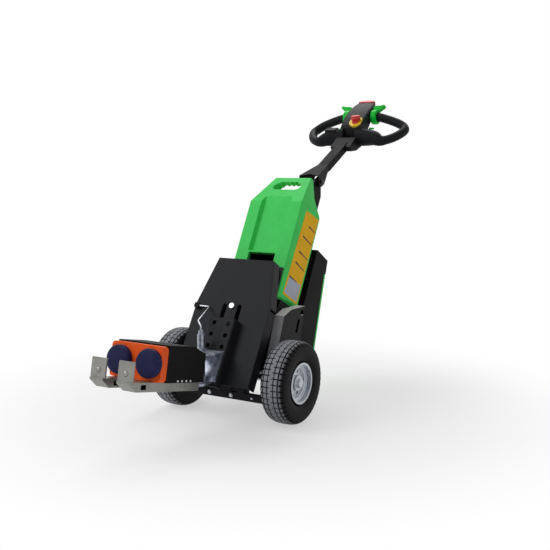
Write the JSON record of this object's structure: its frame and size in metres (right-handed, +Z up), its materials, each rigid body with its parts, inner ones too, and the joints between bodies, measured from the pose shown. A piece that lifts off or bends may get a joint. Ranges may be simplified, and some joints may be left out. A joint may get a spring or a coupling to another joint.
{
  "type": "electric tow tractor",
  "caption": "Pedestrian electric tug with two block-tread wheels, a rear castor, a loop-handled tiller, a lift-out battery and a low hook-and-buffer coupling.",
  "frame": {"origin": "middle of the footprint box on the floor", "axes": "+Z up, +Y from the coupling toward the operator's handle, +X across the machine along the drive axle"},
  "size_m": [0.506, 1.5741, 1.0651],
  "materials": {
    "tyre": "matt black rubber",
    "castor_rubber": "matt dark rubber",
    "buffer_rubber": "matt navy-black rubber",
    "rim_steel": "silver lacquered pressed steel",
    "shaft_steel": "bright zinc",
    "black_steel": "satin black powder coat",
    "drive_cast": "cast aluminium",
    "zinc_steel": "zinc plated",
    "stainless": "brushed stainless steel",
    "orange_paint": "orange powder coat",
    "black_plastic": "satin black moulding",
    "green_plastic": "satin bright green moulding",
    "control_green": "bright green moulding",
    "control_red": "red moulding",
    "control_yellow": "yellow moulding"
  },
  "bodies": {
    "chassis": {"base_frame": "black_steel", "drive_unit": "drive_cast", "front_cross_bar": "black_steel", "front_plate": "black_steel", "clamp_bolt": "shaft_steel", "coupling_channel": "black_steel", "rear_box": "black_plastic", "rear_cover": "green_plastic", "battery_cradle": "black_steel", "side_pod_left": "black_plastic", "side_pod_right": "black_plastic", "castor_plate": "zinc_steel", "tiller_mast": "black_steel", "pivot_bolt": "shaft_steel", "coupling_bracket": "zinc_steel", "swivel_pin": "shaft_steel", "lock_plunger": "zinc_steel", "wire_clip": "black_plastic", "release_wire": "shaft_steel"},
    "wheel_left": {"tyre_left": "tyre", "rim_left": "rim_steel", "half_shaft_left": "shaft_steel"},
    "wheel_right": {"tyre_right": "tyre", "rim_right": "rim_steel", "half_shaft_right": "shaft_steel"},
    "castor": {"castor_fork": "zinc_steel"},
    "castor_roller": {"castor_wheel": "castor_rubber"},
    "tiller": {"tiller_arm": "black_steel", "head_housing": "black_plastic", "head_lid": "black_plastic", "belly_switch": "control_red", "estop_base": "control_yellow", "estop_button": "control_red", "thumb_wheel_left": "control_green", "thumb_wheel_right": "control_green", "loop_handle_left": "black_plastic", "loop_handle_right": "black_plastic", "key_panel": "black_plastic"},
    "coupler": {"swivel_knuckle": "zinc_steel", "coupling_arm": "black_steel", "buffer_plate": "orange_paint", "buffer_left": "buffer_rubber", "buffer_right": "buffer_rubber", "hook_rail_left": "stainless", "hook_rail_right": "stainless", "hook_plate_left": "stainless", "hook_plate_right": "stainless"},
    "battery": {"battery_pack": "green_plastic"}
  },
  "joints": [
    {"name": "wheel_left_spin", "type": "hinge", "parent": "chassis", "child": "wheel_left", "pos_m": [-0.21, -0.19666, 0.13], "axis": [1, 0, 0], "continuous": true},
    {"name": "wheel_right_spin", "type": "hinge", "parent": "chassis", "child": "wheel_right", "pos_m": [0.21, -0.19666, 0.13], "axis": [1, 0, 0], "continuous": true},
    {"name": "castor_swivel", "type": "hinge", "parent": "chassis", "child": "castor", "pos_m": [0, 0.07134, 0.13], "axis": [0, 0, 1], "continuous": true},
    {"name": "castor_spin", "type": "hinge", "parent": "castor", "child": "castor_roller", "pos_m": [0, 0.10734, 0.055], "axis": [1, 0, 0], "continuous": true},
    {"name": "tiller_tilt", "type": "hinge", "parent": "chassis", "child": "tiller", "pos_m": [0, 0.30634, 0.739], "axis": [1, 0, 0], "range_deg": [-15, 20]},
    {"name": "coupler_swivel", "type": "hinge", "parent": "chassis", "child": "coupler", "pos_m": [0, -0.39666, 0.138], "axis": [0, 0, 1], "range_deg": [-30, 30]},
    {"name": "battery_lift", "type": "slide", "parent": "chassis", "child": "battery", "axis": [0, 0.4695, 0.8829], "range_m": [0, 0.25]}
  ]
}
